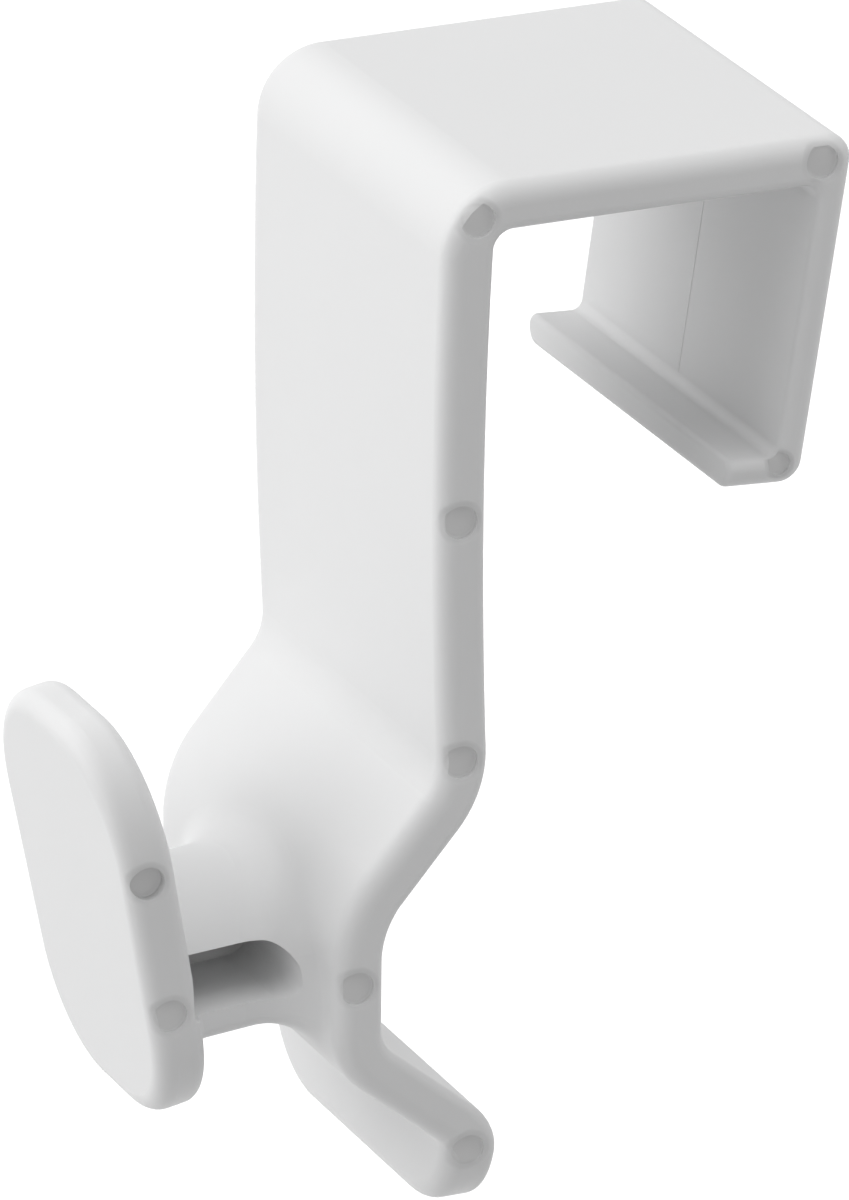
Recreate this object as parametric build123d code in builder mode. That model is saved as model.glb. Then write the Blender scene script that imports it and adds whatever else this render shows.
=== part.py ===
from build123d import *
from math import atan2, cos, radians, sin, tan
import os

# Window hook, one injection-moulded piece. Millimetres.
# X runs from the room side (-X) to the window side (+X), Y is the width, Z is up.
# The origin is the middle of the underside of the top, which rests on the sash.

# clip over the sash
width = 28.0
side_taper = 0.83
strap_wall = 2.85
top_wall = 2.7
leg_wall = 1.9
lip_wall = 1.75
slot_width = 20.0
slot_depth = 16.1
leg_lean = 8.4
lip_reach = 3.1
lip_lean = 3.4

# strap: a slight bow, then an S-bend toward the room
bow_drop = 15.2
bow = 0.43
bend_drop = 33.75
bend_step = 6.45
bend_height = 7.55

# tail below the stem
tail_drop = 48.4
tail_step = 7.25
tail_height = 6.0
foot_wall = 3.2
foot_drop = 60.65
foot_corner = 6.1

# plate in front, leaning toward the room, and the stem that carries it
plate_wall = 3.1
plate_above = 10.1
plate_below = 6.7
plate_beside = 1.6
plate_top_corner = 7.3
plate_low_corner = 6.9
plate_narrowing = 1.1
plate_lean = 10.4
plate_x = -29.7
stem_radius = 7.8
stem_below_bend = 0.05
stem_rise = 5.0
stem_corner = 0.7
stem_flare = 3.4

# cored pockets in the two sides of the stem
pocket_height = 3.1
pocket_flange = 1.5
pocket_back_gap = 0.4
pocket_corner = 0.42 * pocket_height
pocket_front_corner = 0.4
pocket_slope = 0.5
pocket_web = 2.0

# rounding of the long edges
outer_round = 1.2
inner_round = 0.6
tip_round = 0.4
plate_round = 1.15
plate_back_round = 0.9
neck_round = 0.35

# shallow ejector marks on the -Y side
mark_radius = 1.0
mark_depth = 0.3
strap_marks = [
    (-11.1, 0.86), (10.0, 1.4), (-12.0, -17.0),
    (-11.8, -31.6), (-18.1, -44.5), (-11.1, -55.8),
]
lip_mark = (7.7, -16.45)
lip_mark_radius = 0.7
plate_marks = [(-29.3, -37.7), (-27.8, -46.2)]

strap_back = -slot_width / 2
lean = tan(radians(leg_lean))
tilt = tan(radians(lip_lean))
leg_run = leg_wall / cos(radians(leg_lean))
bend = atan2(bend_step, bend_height)
bend_shift = strap_wall * tan(bend / 2)
dive = atan2(tail_step, tail_height)
dive_shift = strap_wall * tan(dive / 2)

# back of the strap, from the underside of the top down to the foot
back_top = (strap_back, 0.0)
back_bow = (strap_back - bow, -bow_drop)
back_bend = (strap_back, -bend_drop)
back_step = (strap_back - bend_step, -bend_drop - bend_height)
back_tail = (back_step[0], -tail_drop)
back_foot = (back_tail[0] + tail_step, -tail_drop - tail_height)
back_end = (back_foot[0], -foot_drop)

# front of the strap, one wall thickness away
front_end = (back_foot[0] - foot_wall, -foot_drop)
front_foot = (front_end[0], back_foot[1] - dive_shift + (foot_wall - strap_wall) * tail_height / tail_step)
front_tail = (back_tail[0] - strap_wall, -tail_drop - dive_shift)
front_step = (front_tail[0], back_step[1] + bend_shift)
front_bend = (strap_back - strap_wall, -bend_drop + bend_shift)
front_bow = (back_bow[0] - strap_wall, -bow_drop)
front_top = (strap_back - strap_wall, top_wall)

# leg and lip on the window side
leg_top = (-strap_back, 0.0)
leg_foot = (leg_top[0] - lean * slot_depth, -slot_depth)
outer_top = (leg_top[0] + leg_run + lean * top_wall, top_wall)
lip_low = slot_depth + lip_wall + tilt * leg_run
outer_foot = (leg_top[0] + leg_run - lean * lip_low, -lip_low)
lip_top = (leg_foot[0] - lip_reach, -slot_depth + tilt * lip_reach)
lip_end = (lip_top[0] - lean * lip_wall, lip_top[1] - lip_wall)

back_run = [back_bend, back_step, back_tail, back_foot, back_end]
front_run = [front_end, front_foot, front_tail, front_step, front_bend]
clip_run = [front_top, outer_top, outer_foot, lip_end, lip_top, leg_foot, leg_top, back_top]

# corners that the side view shows, each with its radius
corners = [
    (back_top, 1.2), (back_bend, 7.0), (back_step, 5.3), (back_tail, 2.2), (back_foot, 4.0),
    (front_foot, 0.7), (front_tail, 5.0), (front_step, 8.5), (front_bend, 3.2), (front_top, 4.1),
    (outer_top, 1.4), (outer_foot, 1.5), (leg_foot, 0.65), (leg_top, 0.8),
]

# the stem's top lies just below the S-bend, and the plate reaches past the stem on all sides
stem_top = front_step[1] - stem_below_bend
stem_base = stem_top - stem_radius
plate_width = 2 * (stem_radius + plate_beside)
plate_height = plate_above + stem_radius + plate_below
plate_z = stem_top + plate_above - plate_height / 2
plate_high = plate_width / 2 + plate_narrowing / 3
plate_low = plate_high - plate_narrowing
plate_outline = [
    (-plate_high, plate_height / 2), (plate_high, plate_height / 2),
    (plate_low, -plate_height / 2), (-plate_low, -plate_height / 2),
]
pocket_floor = stem_base + pocket_flange
pocket_top = pocket_floor + pocket_height
pocket_back = front_step[0] - pocket_back_gap
pocket_front = plate_x + plate_wall + 0.3

lip_tip = ((lip_top[0] + lip_end[0]) / 2, (lip_top[1] + lip_end[1]) / 2)


def near(item, x, z):
    """Whether an edge or a face has its middle at x, z in the side view."""
    middle = item.center()
    return (middle.X - x) ** 2 + (middle.Z - z) ** 2 < 2.0


plate_plane = Plane(
    origin=(plate_x, 0.0, plate_z),
    x_dir=(0.0, -1.0, 0.0),
    z_dir=(-cos(radians(plate_lean)), 0.0, -sin(radians(plate_lean))),
)
stem_plane = Plane(
    origin=(front_step[0] + strap_wall / 2, 0.0, stem_base),
    x_dir=(0.0, -1.0, 0.0),
    z_dir=(-cos(radians(stem_rise)), 0.0, -sin(radians(stem_rise))),
)
stem_length = front_step[0] - plate_x
taper = tan(radians(side_taper))
foot_half = width / 2 - taper * (top_wall + foot_drop)
sides = [(-width / 2, top_wall), (width / 2, top_wall), (foot_half, -foot_drop), (-foot_half, -foot_drop)]


def side_at(z):
    """Y of the tapered side face that bears the marks, at a height z."""
    return taper * (top_wall - z) - width / 2


def on_neck(edge):
    """Whether an edge is where the stem meets the back of the plate."""
    spot = plate_plane.to_local_coords(edge.center())
    inside = abs(spot.Y) < 1.2 * stem_radius and abs(spot.X) < 1.1 * stem_radius
    return inside and abs(spot.Z + plate_wall) < 0.05


with BuildPart() as window_hook:
    with BuildSketch(Plane.XZ):
        with BuildLine():
            ThreePointArc(back_top, back_bow, back_bend)
            Polyline(*back_run, *front_run)
            ThreePointArc(front_bend, front_bow, front_top)
            Polyline(*clip_run)
        make_face()
        for (x, z), radius in corners:
            turn = vertices().sort_by(lambda v: (v.X - x) ** 2 + (v.Y - z) ** 2)[0]
            fillet(turn, radius)
    extrude(amount=width / 2, both=True)
    with BuildSketch(Plane.YZ):
        with BuildLine():
            Polyline(*sides, close=True)
        make_face()
    extrude(amount=2 * width, both=True, mode=Mode.INTERSECT)
    foot_edges = window_hook.edges().filter_by(Axis.X).group_by(Axis.Z)[0]
    fillet(foot_edges.filter_by(lambda e: abs(e.center().Y) > foot_half - 0.1), foot_corner)
    front_rims = window_hook.edges().filter_by(lambda e: near(e, *front_bow))
    fillet(front_rims, outer_round)
    back_rims = window_hook.edges().filter_by(lambda e: near(e, *back_bow))
    fillet(back_rims, inner_round)
    tip_rims = window_hook.faces().filter_by(lambda f: near(f, *lip_tip)).edges()
    fillet(tip_rims, tip_round)

    with BuildSketch(stem_plane):
        Circle(stem_radius)
        Rectangle(2 * stem_radius, stem_radius, align=(Align.CENTER, Align.MAX), mode=Mode.SUBTRACT)
        fillet(vertices(), stem_corner)
    extrude(amount=stem_length)
    root = window_hook.edges(Select.LAST).filter_by(lambda e: abs(e.center().X - front_step[0]) < 0.7)
    root = root.filter_by(lambda e: abs(e.center().Y) < stem_radius)
    fillet(root, stem_flare)

    with BuildSketch(plate_plane):
        with BuildLine():
            Polyline(*plate_outline, close=True)
        make_face()
        fillet(vertices().group_by(Axis.Y)[-1], plate_top_corner)
        fillet(vertices().group_by(Axis.Y)[0], plate_low_corner)
    extrude(amount=-plate_wall)
    neck = window_hook.edges(Select.LAST).filter_by(lambda e: on_neck(e))
    fillet(neck, neck_round)
    plate_rims = window_hook.faces().filter_by(lambda f: near(f, plate_x, plate_z)).edges()
    fillet(plate_rims, plate_round)
    plate_backs = window_hook.edges().filter_by(lambda e: near(e, plate_x + plate_wall, plate_z))
    fillet(plate_backs.filter_by(lambda e: abs(e.center().Y) > stem_radius), plate_back_round)

    for side in (-1, 1):
        with BuildSketch(Plane.XZ.offset(-side * pocket_web / 2)):
            with BuildLine():
                Polyline(
                    (pocket_front, pocket_top - pocket_slope), (pocket_back, pocket_top),
                    (pocket_back, pocket_floor), (pocket_front, pocket_floor - pocket_slope), close=True,
                )
            make_face()
            fillet(vertices().group_by(Axis.X)[-1], pocket_corner)
            fillet(vertices().group_by(Axis.X)[0], pocket_front_corner)
        extrude(amount=-side * stem_radius * 1.5, mode=Mode.SUBTRACT)

    for x, z in strap_marks:
        with Locations(Location((x, side_at(z) + mark_depth, z), (90, 0, 0))):
            Cylinder(mark_radius, 2.0, align=(Align.CENTER, Align.CENTER, Align.MIN), mode=Mode.SUBTRACT)
    with Locations(Location((lip_mark[0], side_at(lip_mark[1]) + mark_depth, lip_mark[1]), (90, 0, 0))):
        Cylinder(lip_mark_radius, 2.0, align=(Align.CENTER, Align.CENTER, Align.MIN), mode=Mode.SUBTRACT)
    for x, z in plate_marks:
        with Locations(Location((x, 2 * mark_depth - plate_width / 2, z), (90, 0, 0))):
            Cylinder(mark_radius, 2.0, align=(Align.CENTER, Align.CENTER, Align.MIN), mode=Mode.SUBTRACT)

window_hook.part.label = "window_hook"
os.makedirs("parts", exist_ok=True)
export_step(window_hook.part, "parts/window_hook.step")
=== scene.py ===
# %% [markdown]
# # A moulded window hook
# This lesson dresses a small household hook that sits over a window sash.
# The real hook is one piece of white plastic, moulded in one shot in a steel tool.
# Its shape already comes from the CAD model, so nothing is modelled twice here.
# What Blender adds is the surface of the plastic, a pale studio around it, and the camera.

import bpy
import numpy as np
from mathutils import Matrix

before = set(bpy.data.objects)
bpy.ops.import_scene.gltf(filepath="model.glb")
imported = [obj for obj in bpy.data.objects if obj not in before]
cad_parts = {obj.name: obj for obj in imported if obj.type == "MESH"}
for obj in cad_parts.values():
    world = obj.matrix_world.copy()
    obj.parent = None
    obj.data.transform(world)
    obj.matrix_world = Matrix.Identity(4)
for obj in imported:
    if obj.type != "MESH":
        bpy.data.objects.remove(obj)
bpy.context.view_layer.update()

MM = 0.001

# %% [markdown]
# ## Helpers for node trees
# A material is a graph. These helpers keep the graph short to read: one adds a node and sets
# its attributes, one opens a named group with its sockets, one places a group and sets its
# inputs, and one starts a material with an empty graph. A shared effect could be pasted into
# every material, but a group is built once and reused.

# %% Node helpers
FLOAT = "NodeSocketFloat"
VECTOR = "NodeSocketVector"


def add_node(tree, kind, place=(0, 0), **values):
    """Add a node, put it at a place in the editor and set its attributes."""
    node = tree.nodes.new(kind)
    node.location = place
    for name, value in values.items():
        setattr(node, name, value)
    return node


def new_group(name, inputs, outputs):
    """A shader node group: inputs are (name, socket type, default), outputs (name, socket type)."""
    group = bpy.data.node_groups.new(name, "ShaderNodeTree")
    for label, kind, default in inputs:
        socket = group.interface.new_socket(label, in_out="INPUT", socket_type=kind)
        if default is not None:
            socket.default_value = default
    for label, kind in outputs:
        group.interface.new_socket(label, in_out="OUTPUT", socket_type=kind)
    source = add_node(group, "NodeGroupInput", (-700, 0))
    out = add_node(group, "NodeGroupOutput", (700, 0))
    print("group", name, "puts out", [label for label, kind in outputs])
    return group, source, out


def put_group(tree, group, place, **values):
    """Place a group in a material and set its inputs; an underscore stands for a space."""
    node = add_node(tree, "ShaderNodeGroup", place, node_tree=group)
    for label, value in values.items():
        node.inputs[label.replace("_", " ")].default_value = value
    return node


def blank_material(name):
    """A new material with an empty node tree."""
    material = bpy.data.materials.new(name)
    material.use_nodes = True
    material.node_tree.nodes.clear()
    return material, material.node_tree


# %% [markdown]
# ## The grain of a moulded surface
# Moulds for satin plastic are often spark-eroded, and the plastic copies their very fine pits.
# A picture of the grain would stretch on the bends, so two noises in the hook's own
# coordinates make it: one for the pits and a slow one for the flow of the plastic.

# %% Moulded grain group
# noise waves per metre, and the pits' share of the height
PIT_SCALE = 2600.0
FLOW_SCALE = 45.0
PIT_SHARE = 0.6


def make_grain_group():
    """Height blends flow and pits by Pit Share; Tint is the flow alone, Gloss the pits alone."""
    group, source, out = new_group(
        "moulded grain",
        [
            ("Vector", VECTOR, None),
            ("Pit Scale", FLOAT, PIT_SCALE),
            ("Flow Scale", FLOAT, FLOW_SCALE),
            ("Pit Share", FLOAT, PIT_SHARE),
        ],
        [("Height", FLOAT), ("Tint", FLOAT), ("Gloss", FLOAT)],
    )
    pits = add_node(group, "ShaderNodeTexNoise", (-400, 200))
    pits.inputs["Detail"].default_value = 2.0
    flow = add_node(group, "ShaderNodeTexNoise", (-400, -100))
    flow.inputs["Detail"].default_value = 3.0
    flow.inputs["Distortion"].default_value = 0.4
    mix = add_node(group, "ShaderNodeMix", (100, 100), data_type="FLOAT")
    link = group.links.new
    link(source.outputs["Vector"], pits.inputs["Vector"])
    link(source.outputs["Vector"], flow.inputs["Vector"])
    link(source.outputs["Pit Scale"], pits.inputs["Scale"])
    link(source.outputs["Flow Scale"], flow.inputs["Scale"])
    link(source.outputs["Pit Share"], mix.inputs["Factor"])
    link(flow.outputs["Fac"], mix.inputs["A"])
    link(pits.outputs["Fac"], mix.inputs["B"])
    link(mix.outputs["Result"], out.inputs["Height"])
    link(flow.outputs["Fac"], out.inputs["Tint"])
    link(pits.outputs["Fac"], out.inputs["Gloss"])
    return group


grain_group = make_grain_group()

# %% [markdown]
# ## The parting line
# The mould opens sideways, so its two halves meet in the middle of the hook's width.
# Plastic creeps a hair's breadth into the joint and leaves a fine raised line there.
# It is hardly seen on the front and the top, but stays on the leg, as the photograph shows.
# It is far too thin for geometry, so a narrow ridge in the bump height stands for it.

# %% Parting line group
LINE_HALF_WIDTH = 0.15 * MM
LEG_START_X = 4.0 * MM
SLOT_MIDDLE_Z = -7.8 * MM
SLOT_HALF_HEIGHT = 7.7 * MM


def make_parting_group():
    """Ridge = 1 on the plane Y = Centre and falls to 0 at Half Width from it.

    It is 0 where X is below Start, and above and below the slot.
    """
    group, source, out = new_group(
        "parting line",
        [
            ("Vector", VECTOR, None),
            ("Centre", FLOAT, 0.0),
            ("Half Width", FLOAT, LINE_HALF_WIDTH),
            ("Start", FLOAT, LEG_START_X),
        ],
        [("Ridge", FLOAT)],
    )
    split = add_node(group, "ShaderNodeSeparateXYZ", (-500, 0))
    offset = add_node(group, "ShaderNodeMath", (-300, 0), operation="SUBTRACT")
    size = add_node(group, "ShaderNodeMath", (-100, 0), operation="ABSOLUTE")
    ramp = add_node(group, "ShaderNodeMapRange", (150, 0), interpolation_type="SMOOTHSTEP")
    ramp.inputs["From Min"].default_value = 0.0
    ramp.inputs["To Min"].default_value = 1.0
    ramp.inputs["To Max"].default_value = 0.0
    past = add_node(group, "ShaderNodeMath", (150, -200), operation="GREATER_THAN")
    level = add_node(group, "ShaderNodeMath", (150, -400), operation="COMPARE")
    level.inputs[1].default_value = SLOT_MIDDLE_Z
    level.inputs[2].default_value = SLOT_HALF_HEIGHT
    inside = add_node(group, "ShaderNodeMath", (330, -300), operation="MULTIPLY")
    ridge = add_node(group, "ShaderNodeMath", (500, 0), operation="MULTIPLY")
    link = group.links.new
    link(source.outputs["Vector"], split.inputs["Vector"])
    link(split.outputs["X"], past.inputs[0])
    link(source.outputs["Start"], past.inputs[1])
    link(split.outputs["Z"], level.inputs[0])
    link(past.outputs[0], inside.inputs[0])
    link(level.outputs[0], inside.inputs[1])
    link(split.outputs["Y"], offset.inputs[0])
    link(source.outputs["Centre"], offset.inputs[1])
    link(offset.outputs[0], size.inputs[0])
    link(size.outputs[0], ramp.inputs["Value"])
    link(source.outputs["Half Width"], ramp.inputs["From Max"])
    link(ramp.outputs["Result"], ridge.inputs[0])
    link(inside.outputs[0], ridge.inputs[1])
    link(ridge.outputs[0], out.inputs["Ridge"])
    return group


parting_group = make_parting_group()

# %% [markdown]
# ## Painted shade in deep recesses
# The cored pockets beside the stem are greyer in the photograph than the lamps alone make
# them, so painted shade greys the plastic colour there.
# The grey could be painted by hand on a mask, but the shape itself tells where it belongs:
# how deep a spot lies is measured by the share of the sky that the hook's own walls hide
# from it within a short distance.

# %% Painted recess shade group
# how far the walls count, and the shares of free sky where the painted shade is full grey and where it
# is gone
RECESS_REACH = 3.0 * MM
SKY_LOW = 0.12
SKY_HIGH = 0.62


def make_recess_shade_group():
    """Open = 1 in the open and falls to 0 where the share of free sky falls from High to Low; the
    painted shade is full at 0.
    """
    group, source, out = new_group(
        "painted_recess_shade",
        [
            ("Reach", FLOAT, RECESS_REACH),
            ("Low", FLOAT, SKY_LOW),
            ("High", FLOAT, SKY_HIGH),
        ],
        [("Open", FLOAT)],
    )
    sky = add_node(group, "ShaderNodeAmbientOcclusion", (-300, 100), samples=4, only_local=True)
    ramp = add_node(group, "ShaderNodeMapRange", (100, 0), interpolation_type="SMOOTHSTEP")
    link = group.links.new
    link(source.outputs["Reach"], sky.inputs["Distance"])
    link(sky.outputs["AO"], ramp.inputs["Value"])
    link(source.outputs["Low"], ramp.inputs["From Min"])
    link(source.outputs["High"], ramp.inputs["From Max"])
    link(ramp.outputs["Result"], out.inputs["Open"])
    return group


recess_shade_group = make_recess_shade_group()

# %% [markdown]
# ## Ejector pin marks
# Round steel pins push the hook out of the mould, and each leaves a small sunk disc.
# The discs are modelled already, but the plastic also sinks softly round each pin, and each
# sunk disc is given painted shade, a slightly greyer colour. The soft sink could be modelled
# too, but a smooth fall in the bump height shows it without any more faces. A group gives the
# painted shade of the disc and the soft dish round it for one pin, and a chain of groups covers every
# pin.

# %% Where a pin acts
# the normal's Y where a face starts to count as the pins' side, and where it counts in full
SIDE_START_Y = -0.2
SIDE_FULL_Y = -0.7


def radii_from_pin(group, source):
    """Distance from (X, Z) in the side view, divided by Radius."""
    split = add_node(group, "ShaderNodeSeparateXYZ", (-600, 0))
    flat = add_node(group, "ShaderNodeCombineXYZ", (-400, 100))
    centre = add_node(group, "ShaderNodeCombineXYZ", (-400, -100))
    far = add_node(group, "ShaderNodeVectorMath", (-200, 0), operation="DISTANCE")
    share = add_node(group, "ShaderNodeMath", (0, 0), operation="DIVIDE")
    link = group.links.new
    link(source.outputs["Vector"], split.inputs["Vector"])
    for axis in ("X", "Z"):
        link(split.outputs[axis], flat.inputs[axis])
        link(source.outputs[axis], centre.inputs[axis])
    link(flat.outputs["Vector"], far.inputs[0])
    link(centre.outputs["Vector"], far.inputs[1])
    link(far.outputs["Value"], share.inputs[0])
    link(source.outputs["Radius"], share.inputs[1])
    return share.outputs[0]


def faces_the_pins(group):
    """1 where the normal points along -Y, falling to 0 where the surface turns away."""
    facing = add_node(group, "ShaderNodeNewGeometry", (-600, -300))
    turned = add_node(group, "ShaderNodeSeparateXYZ", (-400, -300))
    near_side = add_node(group, "ShaderNodeMapRange", (-200, -300), interpolation_type="SMOOTHSTEP")
    near_side.inputs["From Min"].default_value = SIDE_START_Y
    near_side.inputs["From Max"].default_value = SIDE_FULL_Y
    group.links.new(facing.outputs["Normal"], turned.inputs["Vector"])
    group.links.new(turned.outputs["Y"], near_side.inputs["Value"])
    return near_side.outputs["Result"]


print("pins act where the normal's Y is below", SIDE_START_Y)

# %% Pin mark group
# how far each disc is full and where it ends, in radii of the pin
# Disc Shade is the painted shade on each sunk disc, Dish the soft sink in the bump
DISCS = {"Disc Shade": (0.85, 1.0), "Dish": (0.75, 1.4)}


def make_pin_group():
    """Disc Shade and Dish are discs with soft rims round (X, Z) on the side that faces -Y; Disc Shade
    places painted shade.

    Each joins the disc of the pin before it in the chain: the larger value is passed on.
    """
    group, source, out = new_group(
        "pin mark",
        [
            ("Vector", VECTOR, None),
            ("X", FLOAT, 0.0),
            ("Z", FLOAT, 0.0),
            ("Radius", FLOAT, 1.0 * MM),
            ("Disc Shade", FLOAT, 0.0),
            ("Dish", FLOAT, 0.0),
        ],
        [("Disc Shade", FLOAT), ("Dish", FLOAT)],
    )
    share = radii_from_pin(group, source)
    side = faces_the_pins(group)
    link = group.links.new
    for row, (label, (full, none)) in enumerate(DISCS.items()):
        high = -300 * row
        disc = add_node(group, "ShaderNodeMapRange", (200, high), interpolation_type="SMOOTHSTEP")
        disc.inputs["From Min"].default_value = full
        disc.inputs["From Max"].default_value = none
        disc.inputs["To Min"].default_value = 1.0
        disc.inputs["To Max"].default_value = 0.0
        one = add_node(group, "ShaderNodeMath", (380, high), operation="MULTIPLY")
        most = add_node(group, "ShaderNodeMath", (540, high), operation="MAXIMUM")
        link(share, disc.inputs["Value"])
        link(disc.outputs["Result"], one.inputs[0])
        link(side, one.inputs[1])
        link(one.outputs[0], most.inputs[0])
        link(source.outputs[label], most.inputs[1])
        link(most.outputs[0], out.inputs[label])
    return group


pin_group = make_pin_group()

# %% A chain of nine pins
# X, Z and radius in millimetres, as in the CAD model
PINS = [
    (-11.1, 0.86, 1.0),
    (10.0, 1.4, 1.0),
    (-12.0, -17.0, 1.0),
    (-11.8, -31.6, 1.0),
    (-18.1, -44.5, 1.0),
    (-11.1, -55.8, 1.0),
    (7.7, -16.45, 0.7),
    (-29.3, -37.7, 1.0),
    (-27.8, -46.2, 1.0),
]


def pin_chain(tree, where):
    """One pin mark group for each pin, each passing its discs on to the next."""
    last = None
    for number, (x, z, radius) in enumerate(PINS):
        place = (-1200 + 160 * number, 800)
        pin = put_group(tree, pin_group, place, X=x * MM, Z=z * MM, Radius=radius * MM)
        tree.links.new(where, pin.inputs["Vector"])
        if last is not None:
            tree.links.new(last.outputs["Disc Shade"], pin.inputs["Disc Shade"])
            tree.links.new(last.outputs["Dish"], pin.inputs["Dish"])
        last = pin
    return last


print("pin marks", len(PINS))

# %% [markdown]
# ## White satin plastic
# The hook is a plain white with a satin finish: broad soft highlights on the bends and
# no mirror-like reflections. One flat colour would look like card, so the white drifts a
# little with the flow, and painted shade greys it deep in the pockets and a touch on the pin marks.
# Light that travels inside the plastic is left out, because it costs much time and the
# photograph shows no clear sign of it.

# %% Colour of the plastic
WHITE = (0.845, 0.847, 0.85, 1.0)
BRIGHT_WHITE = (0.87, 0.872, 0.873, 1.0)
# painted shade: the grey of the deep pockets
POCKET_PAINTED_SHADE = (0.50, 0.50, 0.50, 1.0)
# painted shade: the grey of the sunk pin discs
PIN_DISC_PAINTED_SHADE = (0.76, 0.76, 0.76, 1.0)


def mix_colour(tree, place, factor, first, second):
    """Blend from first to second by factor; a tuple is a fixed colour, else it is a socket."""
    mix = add_node(tree, "ShaderNodeMix", place, data_type="RGBA")
    tree.links.new(factor, mix.inputs["Factor"])
    for label, colour in (("A", first), ("B", second)):
        if isinstance(colour, tuple):
            mix.inputs[label].default_value = colour
        else:
            tree.links.new(colour, mix.inputs[label])
    return mix.outputs["Result"]


def plastic_colour(tree, grain, pins):
    """White by the flow, then painted shade where no sky and no dish is, then painted shade on the
    sunk discs.
    """
    white = mix_colour(tree, (-450, 250), grain.outputs["Tint"], WHITE, BRIGHT_WHITE)
    painted_recess_shade = put_group(tree, recess_shade_group, (-450, 500), Reach=RECESS_REACH, Low=SKY_LOW, High=SKY_HIGH)
    shallow = add_node(tree, "ShaderNodeMath", (-300, 500), operation="MAXIMUM")
    tree.links.new(painted_recess_shade.outputs["Open"], shallow.inputs[0])
    tree.links.new(pins.outputs["Dish"], shallow.inputs[1])
    # painted shade: the white turns grey where the recess leaves little free sky
    white_with_painted_shade = mix_colour(tree, (-150, 400), shallow.outputs[0], POCKET_PAINTED_SHADE, white)
    # painted shade: grey on the sunk pin discs
    return mix_colour(tree, (-50, 350), pins.outputs["Disc Shade"], white_with_painted_shade, PIN_DISC_PAINTED_SHADE)


print("plastic from", WHITE[:3], "to", BRIGHT_WHITE[:3])

# %% Relief of the plastic
GRAIN_STRENGTH = 0.35
GRAIN_HEIGHT = 0.02 * MM
LINE_HEIGHT = 0.06 * MM
DISH_DEPTH = 0.2 * MM


def plastic_normal(tree, grain, line, pins):
    """Three bumps one on another: the fine grain, the raised line and the sunk dishes."""
    reliefs = [
        ("grain", grain.outputs["Height"], GRAIN_STRENGTH, GRAIN_HEIGHT, False),
        ("line", line.outputs["Ridge"], 1.0, LINE_HEIGHT, False),
        ("dish", pins.outputs["Dish"], 1.0, DISH_DEPTH, True),
    ]
    normal = None
    for number, (label, height, strength, distance, sunk) in enumerate(reliefs):
        bump = add_node(tree, "ShaderNodeBump", (-500 + 130 * number, -200), label=label, invert=sunk)
        bump.inputs["Strength"].default_value = strength
        bump.inputs["Distance"].default_value = distance
        tree.links.new(height, bump.inputs["Height"])
        if normal is not None:
            tree.links.new(normal, bump.inputs["Normal"])
        normal = bump.outputs["Normal"]
    return normal


print("grain", GRAIN_HEIGHT, "line", LINE_HEIGHT, "dish", DISH_DEPTH)

# %% White plastic material
ROUGHNESS_LOW = 0.40
ROUGHNESS_HIGH = 0.50
PLASTIC_IOR = 1.49
PLASTIC_SPECULAR = 0.3


def make_white_plastic(name):
    """Principled plastic whose colour, roughness and normal follow the groups above."""
    material, tree = blank_material(name)
    link = tree.links.new
    where = add_node(tree, "ShaderNodeTexCoord", (-1000, 0)).outputs["Object"]
    grain = put_group(
        tree, grain_group, (-750, 150), Pit_Scale=PIT_SCALE, Flow_Scale=FLOW_SCALE, Pit_Share=PIT_SHARE
    )
    line = put_group(
        tree, parting_group, (-750, -150), Centre=0.0, Half_Width=LINE_HALF_WIDTH, Start=LEG_START_X
    )
    link(where, grain.inputs["Vector"])
    link(where, line.inputs["Vector"])
    pins = pin_chain(tree, where)
    gloss = add_node(tree, "ShaderNodeMapRange", (-450, 0))
    gloss.inputs["To Min"].default_value = ROUGHNESS_LOW
    gloss.inputs["To Max"].default_value = ROUGHNESS_HIGH
    link(grain.outputs["Gloss"], gloss.inputs["Value"])
    plastic = add_node(tree, "ShaderNodeBsdfPrincipled", (100, 100))
    plastic.inputs["IOR"].default_value = PLASTIC_IOR
    plastic.inputs["Specular IOR Level"].default_value = PLASTIC_SPECULAR
    link(plastic_colour(tree, grain, pins), plastic.inputs["Base Color"])
    link(gloss.outputs["Result"], plastic.inputs["Roughness"])
    link(plastic_normal(tree, grain, line, pins), plastic.inputs["Normal"])
    out = add_node(tree, "ShaderNodeOutputMaterial", (400, 100))
    link(plastic.outputs["BSDF"], out.inputs["Surface"])
    return material


white_plastic = make_white_plastic("white satin plastic")
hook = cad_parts["window_hook"]
for slot in hook.material_slots:
    slot.material = white_plastic
print("hook material", hook.material_slots[0].material.name)

# %% [markdown]
# ## Floor and backdrop
# A studio sheet rolls out over the floor and up a wall in one sweep, so no corner shows.
# A plane and a wall with a bevel would do as well. Here the section is worked out along one
# parameter and carried sideways along the other, which shows how any swept sheet is made.
# The hook hangs in use, so the sheet lies well below it and catches its shadow. The lamps
# are large and soft and the hook is small, so the shadow is too faint to see.

# %% Section of the sheet
def sweep_points(floor_z, near, wall, radius, half_width, high, steps=24, across=3):
    """Grid over (s, t): s runs out over the floor, round a quarter circle and up; t is sideways."""
    angle = np.linspace(0.0, np.pi / 2, steps)
    run = np.concatenate([[near], wall - radius + radius * np.sin(angle), [wall]])
    rise = np.concatenate([[0.0], radius - radius * np.cos(angle), [high]])
    side = np.linspace(-half_width, half_width, across)
    s, t = np.meshgrid(np.arange(run.size), side, indexing="ij")
    return np.stack([run[s], t, floor_z + rise[s]], axis=-1)


FLOOR_Z = -0.16
sheet_points = sweep_points(FLOOR_Z, near=-1.6, wall=1.8, radius=0.5, half_width=2.2, high=2.6)
print("sheet grid", sheet_points.shape)

# %% Mesh of the sheet
# the way the camera looks, as an angle from +X
SHEET_TURN = np.radians(66.0)


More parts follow.
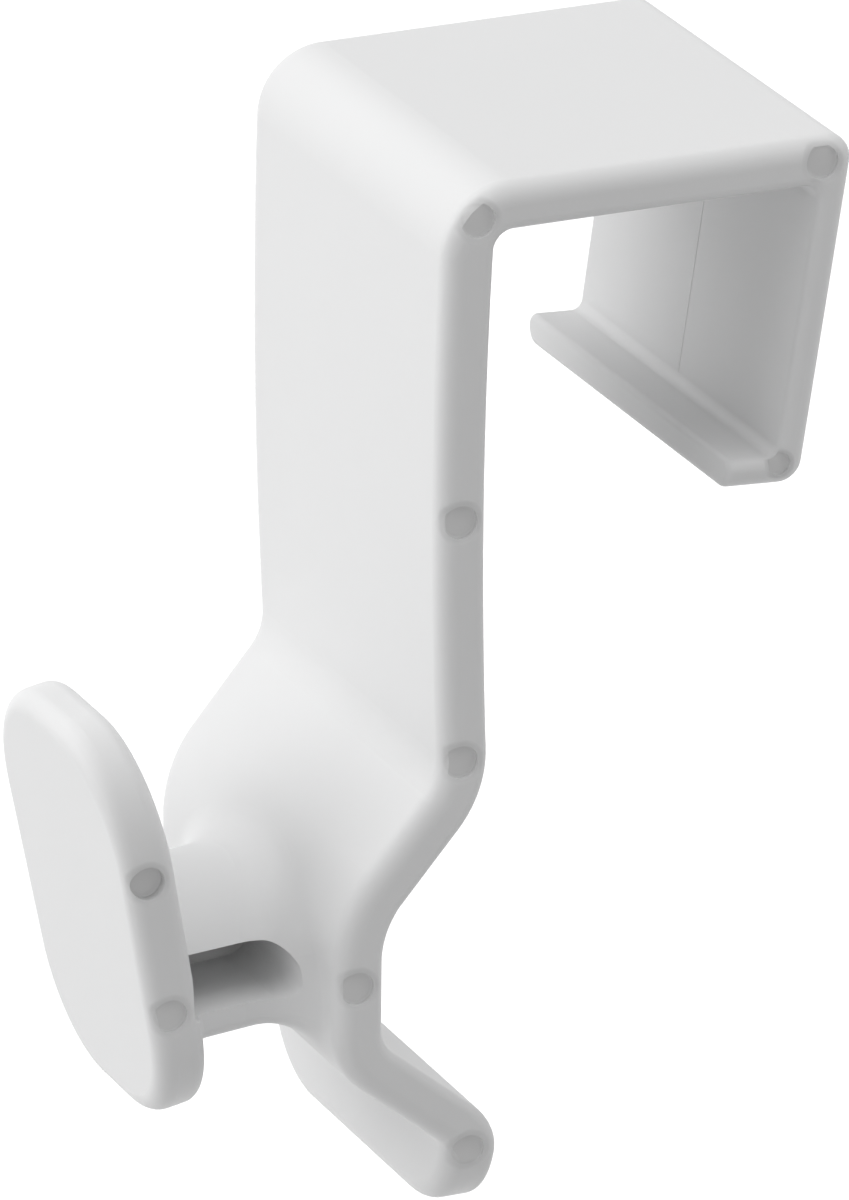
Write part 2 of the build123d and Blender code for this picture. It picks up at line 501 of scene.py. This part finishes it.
def grid_faces(rows, columns):
    """Quads of a rows by columns grid, as vertex numbers."""
    corner = np.arange((rows - 1) * columns).reshape(rows - 1, columns)[:, :-1]
    quads = np.stack([corner, corner + 1, corner + columns + 1, corner + columns], axis=-1)
    return quads.reshape(-1, 4)


def sheet_object(name, points, turn):
    """A smooth mesh from a grid of points, turned about Z by an angle in radians."""
    rows, columns = points.shape[:2]
    c, s = np.cos(turn), np.sin(turn)
    flat = points.reshape(-1, 3) @ np.array([[c, s, 0.0], [-s, c, 0.0], [0.0, 0.0, 1.0]])
    mesh = bpy.data.meshes.new(name)
    mesh.from_pydata(flat.tolist(), [], grid_faces(rows, columns).tolist())
    mesh.polygons.foreach_set("use_smooth", np.ones(len(mesh.polygons), dtype=bool))
    thing = bpy.data.objects.new(name, mesh)
    bpy.context.scene.collection.objects.link(thing)
    return thing


sweep = sheet_object("studio_sweep", sheet_points, SHEET_TURN)
print("sweep faces", len(sweep.data.polygons))

# %% [markdown]
# ## A sheet that photographs pure white
# The photograph's ground is pure white. More lamp light would burn out the hook as well,
# so the sheet keeps a plain diffuse paper and adds a glow only where the camera,
# a reflection or a clear surface looks at it. The glow alone stays below white,
# and the lamps' own light on the paper makes up the rest.

# %% Paper material
PAPER_GREY = 0.56
PAPER_GLOW = 0.86


def seen_directly(tree, place):
    """1 for camera, glossy and transmission rays, else 0, from Light Path."""
    path = add_node(tree, "ShaderNodeLightPath", place)
    first = add_node(tree, "ShaderNodeMath", (place[0] + 200, place[1]), operation="MAXIMUM")
    both = add_node(tree, "ShaderNodeMath", (place[0] + 400, place[1]), operation="MAXIMUM")
    tree.links.new(path.outputs["Is Camera Ray"], first.inputs[0])
    tree.links.new(path.outputs["Is Glossy Ray"], first.inputs[1])
    tree.links.new(first.outputs[0], both.inputs[0])
    tree.links.new(path.outputs["Is Transmission Ray"], both.inputs[1])
    return both.outputs[0]


def make_paper(name):
    """Matt grey paper plus a glow that only the rays of seen_directly meet."""
    material, tree = blank_material(name)
    matt = add_node(tree, "ShaderNodeBsdfDiffuse", (0, 200))
    matt.inputs["Color"].default_value = (PAPER_GREY, PAPER_GREY, PAPER_GREY, 1.0)
    glow = add_node(tree, "ShaderNodeEmission", (0, 0))
    glow.inputs["Color"].default_value = (PAPER_GLOW, PAPER_GLOW, PAPER_GLOW, 1.0)
    both = add_node(tree, "ShaderNodeAddShader", (300, 100))
    out = add_node(tree, "ShaderNodeOutputMaterial", (500, 100))
    tree.links.new(seen_directly(tree, (-700, 0)), glow.inputs["Strength"])
    tree.links.new(matt.outputs[0], both.inputs[0])
    tree.links.new(glow.outputs[0], both.inputs[1])
    tree.links.new(both.outputs[0], out.inputs["Surface"])
    return material


sweep.data.materials.append(make_paper("studio paper"))
print("paper", PAPER_GREY, "glow", PAPER_GLOW)

# %% [markdown]
# ## Air that fills the shadows
# A white room sends some light back from everywhere. Walls all round would do it, but an even
# world light is simpler and less noisy. Rays that look straight at it see plain white, so
# the ground stays white past the sheet's edges too.

# %% World light
AMBIENT = 0.44


def make_air(name):
    """Even white light of strength AMBIENT, and of strength 1 for the rays of seen_directly."""
    world = bpy.data.worlds.new(name)
    world.use_nodes = True
    tree = world.node_tree
    tree.nodes.clear()
    level = add_node(tree, "ShaderNodeMix", (-50, 0), data_type="FLOAT")
    level.inputs["A"].default_value = AMBIENT
    level.inputs["B"].default_value = 1.0
    air = add_node(tree, "ShaderNodeBackground", (200, 0))
    air.inputs["Color"].default_value = (1.0, 1.0, 1.0, 1.0)
    out = add_node(tree, "ShaderNodeOutputWorld", (400, 0))
    tree.links.new(seen_directly(tree, (-750, 0)), level.inputs["Factor"])
    tree.links.new(level.outputs["Result"], air.inputs["Strength"])
    tree.links.new(air.outputs[0], out.inputs["Surface"])
    return world


bpy.context.scene.world = make_air("studio air")
print("ambient", AMBIENT)

# %% [markdown]
# ## Camera
# The photograph was taken with a long lens, so the far end of the hook is hardly smaller
# than the near end. A camera could be set by eye, but the view was solved from the photograph:
# where the camera looks from, how far it is away, how far the hook stands from the middle of
# the picture, and how many pixels the focal length is on a picture 1200 pixels high.

# %% The solved view
AZIMUTH, ELEVATION, ROLL = np.radians([-23.960, 21.304, 0.213])
FOCAL_PX = 13000.0
PICTURE_HIGH = 1200.0
DISTANCE = 734.59 * MM
ASIDE = np.array([-1.5812, 25.0175]) * MM
# the view was solved with zero this far in -X from the zero of the CAD model
SOLVED_ZERO = np.array([10.0, 0.0, 0.0]) * MM


def view_axes(azimuth, elevation, roll):
    """Camera right, up and back as unit vectors; right and up are rolled about back."""
    level = np.array([np.sin(azimuth), -np.cos(azimuth), 0.0])
    back = level * np.cos(elevation) + np.array([0.0, 0.0, np.sin(elevation)])
    right = np.array([np.cos(azimuth), np.sin(azimuth), 0.0])
    up = np.cross(back, right)
    c, s = np.cos(roll), np.sin(roll)
    return c * right + s * up, c * up - s * right, back


right, up, back = view_axes(AZIMUTH, ELEVATION, ROLL)
eye = DISTANCE * back - ASIDE[0] * right - ASIDE[1] * up - SOLVED_ZERO
print("camera at", np.round(eye, 4), "looks along", np.round(-back, 3))

# %% Camera
SENSOR_HIGH = 24.0

lens = bpy.data.cameras.new("long lens")
lens.sensor_fit = "VERTICAL"
lens.sensor_height = SENSOR_HIGH
lens.lens = FOCAL_PX * SENSOR_HIGH / PICTURE_HIGH
lens.clip_start = 0.01
lens.clip_end = 20.0
camera = bpy.data.objects.new("camera", lens)
bpy.context.scene.collection.objects.link(camera)
pose = np.eye(4)
pose[:3, 0] = right
pose[:3, 1] = up
pose[:3, 2] = back
pose[:3, 3] = eye
camera.matrix_world = Matrix(pose.tolist())
bpy.context.scene.camera = camera
bpy.context.scene.view_settings.view_transform = "Standard"
print("lens mm", lens.lens)

# %% [markdown]
# ## Soft studio light
# Large soft panels stand round the hook, and each aims at its middle. The strongest stand on
# the far side in front of the strap and above the top, which is why the front and the top
# are bright and the side near the camera is greyer. A picture of a studio could light the
# hook too, but panels are plain numbers that can be set one by one against the photograph.

# %% Light panels
AIM = np.array([-0.008, 0.0, -0.028])
# azimuth and elevation in degrees, distance and size in metres, power in watts
PANELS = {
    "front panel": (-90.0, 16.0, 0.8, 0.5, 0.91),
    "top panel": (-60.0, 88.0, 0.8, 0.7, 1.38),
    "far high panel": (-160.0, 40.0, 0.8, 0.6, 0.94),
    "far front panel": (-125.0, 12.0, 0.8, 0.5, 1.66),
    "far front high panel": (-125.0, 50.0, 0.8, 0.6, 0.50),
    "window panel": (70.0, 45.0, 0.9, 0.6, 0.90),
}


def add_panel(name, azimuth, elevation, distance, size, watts):
    """A square area light on a sphere round the hook, facing its middle."""
    a, e = np.radians([azimuth, elevation])
    away = np.array([np.sin(a) * np.cos(e), -np.cos(a) * np.cos(e), np.sin(e)])
    side = np.cross([0.0, 0.0, 1.0], away)
    side /= np.linalg.norm(side)
    lamp = bpy.data.lights.new(name, "AREA")
    lamp.shape = "SQUARE"
    lamp.size = size
    lamp.energy = watts
    thing = bpy.data.objects.new(name, lamp)
    place = np.eye(4)
    place[:3, 0] = side
    place[:3, 1] = np.cross(away, side)
    place[:3, 2] = away
    place[:3, 3] = AIM + away * distance
    thing.matrix_world = Matrix(place.tolist())
    bpy.context.scene.collection.objects.link(thing)
    return thing


for name, values in PANELS.items():
    add_panel(name, *values)
print("panels", list(PANELS))
